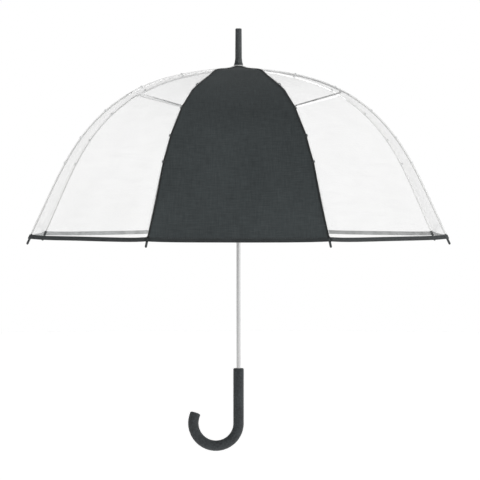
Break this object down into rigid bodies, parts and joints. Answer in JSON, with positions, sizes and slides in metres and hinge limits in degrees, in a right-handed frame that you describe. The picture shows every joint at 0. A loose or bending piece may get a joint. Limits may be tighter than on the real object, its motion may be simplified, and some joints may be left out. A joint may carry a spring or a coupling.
{
  "type": "umbrella",
  "caption": "Dome umbrella with clear film panels and a dark fabric panel, on a folding steel frame with a sliding runner and a crook handle.",
  "frame": {"origin": "on the shaft's axis, in the middle of the straight grip, where a hand holds it", "axes": "+Z along the shaft towards the tip, -X towards the hook of the handle, -Y towards the dark panel"},
  "size_m": [0.8304, 0.8304, 0.8587],
  "materials": {
    "shaft_steel": "polished",
    "frame_steel": "satin",
    "dark_plastic": "soft matte",
    "pale_plastic": "smooth",
    "pale_rod": "smooth glass-fibre rod",
    "dark_fabric": "plain weave",
    "clear_film": "clear film"
  },
  "bodies": {
    "frame": {"shaft_tube": "shaft_steel", "ferrule": "dark_plastic", "top_washer": "pale_plastic", "crown_hub": "dark_plastic", "crown_wire": "frame_steel", "crook_handle": "dark_plastic"},
    "inner_rib_1": {"rib_inner_1": "frame_steel"},
    "outer_rib_1": {"rib_outer_1": "pale_rod", "rib_tip_1": "dark_plastic"},
    "stretcher_arm_1": {"stretcher_1": "frame_steel"},
    "inner_rib_2": {"rib_inner_2": "frame_steel"},
    "outer_rib_2": {"rib_outer_2": "pale_rod", "rib_tip_2": "dark_plastic"},
    "stretcher_arm_2": {"stretcher_2": "frame_steel"},
    "inner_rib_3": {"rib_inner_3": "frame_steel"},
    "outer_rib_3": {"rib_outer_3": "pale_rod", "rib_tip_3": "dark_plastic"},
    "stretcher_arm_3": {"stretcher_3": "frame_steel"},
    "inner_rib_4": {"rib_inner_4": "frame_steel"},
    "outer_rib_4": {"rib_outer_4": "pale_rod", "rib_tip_4": "dark_plastic"},
    "stretcher_arm_4": {"stretcher_4": "frame_steel"},
    "inner_rib_5": {"rib_inner_5": "frame_steel"},
    "outer_rib_5": {"rib_outer_5": "pale_rod", "rib_tip_5": "dark_plastic"},
    "stretcher_arm_5": {"stretcher_5": "frame_steel"},
    "inner_rib_6": {"rib_inner_6": "frame_steel"},
    "outer_rib_6": {"rib_outer_6": "pale_rod", "rib_tip_6": "dark_plastic"},
    "stretcher_arm_6": {"stretcher_6": "frame_steel"},
    "inner_rib_7": {"rib_inner_7": "frame_steel"},
    "outer_rib_7": {"rib_outer_7": "pale_rod", "rib_tip_7": "dark_plastic"},
    "stretcher_arm_7": {"stretcher_7": "frame_steel"},
    "inner_rib_8": {"rib_inner_8": "frame_steel"},
    "outer_rib_8": {"rib_outer_8": "pale_rod", "rib_tip_8": "dark_plastic"},
    "stretcher_arm_8": {"stretcher_8": "frame_steel"},
    "runner": {"runner": "dark_plastic", "runner_wire": "frame_steel"},
    "upper_cover_1": {"panel_upper_1": "dark_fabric"},
    "lower_cover_1": {"panel_lower_1": "dark_fabric"},
    "upper_cover_2": {"panel_upper_2": "clear_film"},
    "lower_cover_2": {"panel_lower_2": "clear_film"},
    "upper_cover_3": {"panel_upper_3": "clear_film"},
    "lower_cover_3": {"panel_lower_3": "clear_film"},
    "upper_cover_4": {"panel_upper_4": "clear_film"},
    "lower_cover_4": {"panel_lower_4": "clear_film"},
    "upper_cover_5": {"panel_upper_5": "clear_film"},
    "lower_cover_5": {"panel_lower_5": "clear_film", "tie_strap": "dark_fabric", "strap_snap": "frame_steel"},
    "upper_cover_6": {"panel_upper_6": "clear_film"},
    "lower_cover_6": {"panel_lower_6": "clear_film"},
    "upper_cover_7": {"panel_upper_7": "clear_film"},
    "lower_cover_7": {"panel_lower_7": "clear_film"},
    "upper_cover_8": {"panel_upper_8": "clear_film"},
    "lower_cover_8": {"panel_lower_8": "clear_film"},
    "top_catch": {"top_catch": "frame_steel"},
    "bottom_catch": {"bottom_catch": "frame_steel"}
  },
  "joints": [
    {"name": "canopy_fold", "type": "hinge", "parent": "frame", "child": "inner_rib_1", "pos_m": [0.00383, -0.00924, 0.66545], "axis": [0.9239, 0.3827, 0], "range_deg": [0, 71], "deforming": ["panel_upper_1", "panel_lower_1", "panel_upper_2", "panel_lower_2", "panel_upper_3", "panel_lower_3", "panel_upper_4", "panel_lower_4", "panel_upper_5", "panel_lower_5", "panel_upper_6", "panel_lower_6", "panel_upper_7", "panel_lower_7", "panel_upper_8", "panel_lower_8", "tie_strap", "top_catch", "bottom_catch"]},
    {"name": "rib_1_flex", "type": "hinge", "parent": "inner_rib_1", "child": "outer_rib_1", "pos_m": [0.0871, -0.21027, 0.61278], "axis": [0.9239, 0.3827, 0], "range_deg": [-36, 0]},
    {"name": "stretcher_1_turn", "type": "hinge", "parent": "inner_rib_1", "child": "stretcher_arm_1", "pos_m": [0.08361, -0.20186, 0.61229], "axis": [0.9239, 0.3827, 0], "range_deg": [-143, 0]},
    {"name": "rib_2_fold", "type": "hinge", "parent": "frame", "child": "inner_rib_2", "pos_m": [0.00924, -0.00383, 0.66545], "axis": [0.3827, 0.9239, 0], "range_deg": [0, 71]},
    {"name": "rib_2_flex", "type": "hinge", "parent": "inner_rib_2", "child": "outer_rib_2", "pos_m": [0.21027, -0.0871, 0.61278], "axis": [0.3827, 0.9239, 0], "range_deg": [-36, 0]},
    {"name": "stretcher_2_turn", "type": "hinge", "parent": "inner_rib_2", "child": "stretcher_arm_2", "pos_m": [0.20186, -0.08361, 0.61229], "axis": [0.3827, 0.9239, 0], "range_deg": [-143, 0]},
    {"name": "rib_3_fold", "type": "hinge", "parent": "frame", "child": "inner_rib_3", "pos_m": [0.00924, 0.00383, 0.66545], "axis": [-0.3827, 0.9239, 0], "range_deg": [0, 71]},
    {"name": "rib_3_flex", "type": "hinge", "parent": "inner_rib_3", "child": "outer_rib_3", "pos_m": [0.21027, 0.0871, 0.61278], "axis": [-0.3827, 0.9239, 0], "range_deg": [-36, 0]},
    {"name": "stretcher_3_turn", "type": "hinge", "parent": "inner_rib_3", "child": "stretcher_arm_3", "pos_m": [0.20186, 0.08361, 0.61229], "axis": [-0.3827, 0.9239, 0], "range_deg": [-143, 0]},
    {"name": "rib_4_fold", "type": "hinge", "parent": "frame", "child": "inner_rib_4", "pos_m": [0.00383, 0.00924, 0.66545], "axis": [-0.9239, 0.3827, 0], "range_deg": [0, 71]},
    {"name": "rib_4_flex", "type": "hinge", "parent": "inner_rib_4", "child": "outer_rib_4", "pos_m": [0.0871, 0.21027, 0.61278], "axis": [-0.9239, 0.3827, 0], "range_deg": [-36, 0]},
    {"name": "stretcher_4_turn", "type": "hinge", "parent": "inner_rib_4", "child": "stretcher_arm_4", "pos_m": [0.08361, 0.20186, 0.61229], "axis": [-0.9239, 0.3827, 0], "range_deg": [-143, 0]},
    {"name": "rib_5_fold", "type": "hinge", "parent": "frame", "child": "inner_rib_5", "pos_m": [-0.00383, 0.00924, 0.66545], "axis": [-0.9239, -0.3827, 0], "range_deg": [0, 71]},
    {"name": "rib_5_flex", "type": "hinge", "parent": "inner_rib_5", "child": "outer_rib_5", "pos_m": [-0.0871, 0.21027, 0.61278], "axis": [-0.9239, -0.3827, 0], "range_deg": [-36, 0]},
    {"name": "stretcher_5_turn", "type": "hinge", "parent": "inner_rib_5", "child": "stretcher_arm_5", "pos_m": [-0.08361, 0.20186, 0.61229], "axis": [-0.9239, -0.3827, 0], "range_deg": [-143, 0]},
    {"name": "rib_6_fold", "type": "hinge", "parent": "frame", "child": "inner_rib_6", "pos_m": [-0.00924, 0.00383, 0.66545], "axis": [-0.3827, -0.9239, 0], "range_deg": [0, 71]},
    {"name": "rib_6_flex", "type": "hinge", "parent": "inner_rib_6", "child": "outer_rib_6", "pos_m": [-0.21027, 0.0871, 0.61278], "axis": [-0.3827, -0.9239, 0], "range_deg": [-36, 0]},
    {"name": "stretcher_6_turn", "type": "hinge", "parent": "inner_rib_6", "child": "stretcher_arm_6", "pos_m": [-0.20186, 0.08361, 0.61229], "axis": [-0.3827, -0.9239, 0], "range_deg": [-143, 0]},
    {"name": "rib_7_fold", "type": "hinge", "parent": "frame", "child": "inner_rib_7", "pos_m": [-0.00924, -0.00383, 0.66545], "axis": [0.3827, -0.9239, 0], "range_deg": [0, 71]},
    {"name": "rib_7_flex", "type": "hinge", "parent": "inner_rib_7", "child": "outer_rib_7", "pos_m": [-0.21027, -0.0871, 0.61278], "axis": [0.3827, -0.9239, 0], "range_deg": [-36, 0]},
    {"name": "stretcher_7_turn", "type": "hinge", "parent": "inner_rib_7", "child": "stretcher_arm_7", "pos_m": [-0.20186, -0.08361, 0.61229], "axis": [0.3827, -0.9239, 0], "range_deg": [-143, 0]},
    {"name": "rib_8_fold", "type": "hinge", "parent": "frame", "child": "inner_rib_8", "pos_m": [-0.00383, -0.00924, 0.66545], "axis": [0.9239, -0.3827, 0], "range_deg": [0, 71]},
    {"name": "rib_8_flex", "type": "hinge", "parent": "inner_rib_8", "child": "outer_rib_8", "pos_m": [-0.0871, -0.21027, 0.61278], "axis": [0.9239, -0.3827, 0], "range_deg": [-36, 0]},
    {"name": "stretcher_8_turn", "type": "hinge", "parent": "inner_rib_8", "child": "stretcher_arm_8", "pos_m": [-0.08361, -0.20186, 0.61229], "axis": [0.9239, -0.3827, 0], "range_deg": [-143, 0]},
    {"name": "runner_turn", "type": "hinge", "parent": "stretcher_arm_1", "child": "runner", "pos_m": [0.00383, -0.00924, 0.55913], "axis": [0.9239, 0.3827, 0], "range_deg": [0, 72]},
    {"name": "cover_1_fold", "type": "hinge", "parent": "frame", "child": "upper_cover_1", "pos_m": [0, -0.00924, 0.66545], "axis": [1, 0, 0], "range_deg": [0, 71]},
    {"name": "cover_1_flex", "type": "hinge", "parent": "upper_cover_1", "child": "lower_cover_1", "pos_m": [0, -0.20186, 0.61229], "axis": [1, 0, 0], "range_deg": [-36, 0]},
    {"name": "cover_2_fold", "type": "hinge", "parent": "frame", "child": "upper_cover_2", "pos_m": [0.00653, -0.00653, 0.66545], "axis": [0.7071, 0.7071, 0], "range_deg": [0, 71]},
    {"name": "cover_2_flex", "type": "hinge", "parent": "upper_cover_2", "child": "lower_cover_2", "pos_m": [0.14274, -0.14274, 0.61229], "axis": [0.7071, 0.7071, 0], "range_deg": [-36, 0]},
    {"name": "cover_3_fold", "type": "hinge", "parent": "frame", "child": "upper_cover_3", "pos_m": [0.00924, 0, 0.66545], "axis": [0, 1, 0], "range_deg": [0, 71]},
    {"name": "cover_3_flex", "type": "hinge", "parent": "upper_cover_3", "child": "lower_cover_3", "pos_m": [0.20186, 0, 0.61229], "axis": [0, 1, 0], "range_deg": [-36, 0]},
    {"name": "cover_4_fold", "type": "hinge", "parent": "frame", "child": "upper_cover_4", "pos_m": [0.00653, 0.00653, 0.66545], "axis": [-0.7071, 0.7071, 0], "range_deg": [0, 71]},
    {"name": "cover_4_flex", "type": "hinge", "parent": "upper_cover_4", "child": "lower_cover_4", "pos_m": [0.14274, 0.14274, 0.61229], "axis": [-0.7071, 0.7071, 0], "range_deg": [-36, 0]},
    {"name": "cover_5_fold", "type": "hinge", "parent": "frame", "child": "upper_cover_5", "pos_m": [0, 0.00924, 0.66545], "axis": [-1, 0, 0], "range_deg": [0, 71]},
    {"name": "cover_5_flex", "type": "hinge", "parent": "upper_cover_5", "child": "lower_cover_5", "pos_m": [0, 0.20186, 0.61229], "axis": [-1, 0, 0], "range_deg": [-36, 0]},
    {"name": "cover_6_fold", "type": "hinge", "parent": "frame", "child": "upper_cover_6", "pos_m": [-0.00653, 0.00653, 0.66545], "axis": [-0.7071, -0.7071, 0], "range_deg": [0, 71]},
    {"name": "cover_6_flex", "type": "hinge", "parent": "upper_cover_6", "child": "lower_cover_6", "pos_m": [-0.14274, 0.14274, 0.61229], "axis": [-0.7071, -0.7071, 0], "range_deg": [-36, 0]},
    {"name": "cover_7_fold", "type": "hinge", "parent": "frame", "child": "upper_cover_7", "pos_m": [-0.00924, 0, 0.66545], "axis": [0, -1, 0], "range_deg": [0, 71]},
    {"name": "cover_7_flex", "type": "hinge", "parent": "upper_cover_7", "child": "lower_cover_7", "pos_m": [-0.20186, 0, 0.61229], "axis": [0, -1, 0], "range_deg": [-36, 0]},
    {"name": "cover_8_fold", "type": "hinge", "parent": "frame", "child": "upper_cover_8", "pos_m": [-0.00653, -0.00653, 0.66545], "axis": [0.7071, -0.7071, 0], "range_deg": [0, 71]},
    {"name": "cover_8_flex", "type": "hinge", "parent": "upper_cover_8", "child": "lower_cover_8", "pos_m": [-0.14274, -0.14274, 0.61229], "axis": [0.7071, -0.7071, 0], "range_deg": [-36, 0]},
    {"name": "top_catch_press", "type": "slide", "parent": "frame", "child": "top_catch", "axis": [0, -1, 0], "range_m": [0, 0.0026], "stiffness_N_per_m": 800},
    {"name": "bottom_catch_press", "type": "slide", "parent": "frame", "child": "bottom_catch", "axis": [0, -1, 0], "range_m": [0, 0.0026], "stiffness_N_per_m": 800}
  ],
  "couplings": [
    {"joint": "rib_1_flex", "follows": "canopy_fold", "ratio": -0.49},
    {"joint": "stretcher_1_turn", "follows": "canopy_fold", "ratio": -2},
    {"joint": "rib_2_fold", "follows": "canopy_fold", "ratio": 1},
    {"joint": "rib_2_flex", "follows": "canopy_fold", "ratio": -0.49},
    {"joint": "stretcher_2_turn", "follows": "canopy_fold", "ratio": -2},
    {"joint": "rib_3_fold", "follows": "canopy_fold", "ratio": 1},
    {"joint": "rib_3_flex", "follows": "canopy_fold", "ratio": -0.49},
    {"joint": "stretcher_3_turn", "follows": "canopy_fold", "ratio": -2},
    {"joint": "rib_4_fold", "follows": "canopy_fold", "ratio": 1},
    {"joint": "rib_4_flex", "follows": "canopy_fold", "ratio": -0.49},
    {"joint": "stretcher_4_turn", "follows": "canopy_fold", "ratio": -2},
    {"joint": "rib_5_fold", "follows": "canopy_fold", "ratio": 1},
    {"joint": "rib_5_flex", "follows": "canopy_fold", "ratio": -0.49},
    {"joint": "stretcher_5_turn", "follows": "canopy_fold", "ratio": -2},
    {"joint": "rib_6_fold", "follows": "canopy_fold", "ratio": 1},
    {"joint": "rib_6_flex", "follows": "canopy_fold", "ratio": -0.49},
    {"joint": "stretcher_6_turn", "follows": "canopy_fold", "ratio": -2},
    {"joint": "rib_7_fold", "follows": "canopy_fold", "ratio": 1},
    {"joint": "rib_7_flex", "follows": "canopy_fold", "ratio": -0.49},
    {"joint": "stretcher_7_turn", "follows": "canopy_fold", "ratio": -2},
    {"joint": "rib_8_fold", "follows": "canopy_fold", "ratio": 1},
    {"joint": "rib_8_flex", "follows": "canopy_fold", "ratio": -0.49},
    {"joint": "stretcher_8_turn", "follows": "canopy_fold", "ratio": -2},
    {"joint": "runner_turn", "follows": "canopy_fold", "ratio": 1},
    {"joint": "cover_1_fold", "follows": "canopy_fold", "ratio": 0.987},
    {"joint": "cover_1_flex", "follows": "canopy_fold", "ratio": -0.481},
    {"joint": "cover_2_fold", "follows": "canopy_fold", "ratio": 0.987},
    {"joint": "cover_2_flex", "follows": "canopy_fold", "ratio": -0.481},
    {"joint": "cover_3_fold", "follows": "canopy_fold", "ratio": 0.987},
    {"joint": "cover_3_flex", "follows": "canopy_fold", "ratio": -0.481},
    {"joint": "cover_4_fold", "follows": "canopy_fold", "ratio": 0.987},
    {"joint": "cover_4_flex", "follows": "canopy_fold", "ratio": -0.481},
    {"joint": "cover_5_fold", "follows": "canopy_fold", "ratio": 0.987},
    {"joint": "cover_5_flex", "follows": "canopy_fold", "ratio": -0.481},
    {"joint": "cover_6_fold", "follows": "canopy_fold", "ratio": 0.987},
    {"joint": "cover_6_flex", "follows": "canopy_fold", "ratio": -0.481},
    {"joint": "cover_7_fold", "follows": "canopy_fold", "ratio": 0.987},
    {"joint": "cover_7_flex", "follows": "canopy_fold", "ratio": -0.481},
    {"joint": "cover_8_fold", "follows": "canopy_fold", "ratio": 0.987},
    {"joint": "cover_8_flex", "follows": "canopy_fold", "ratio": -0.481}
  ]
}
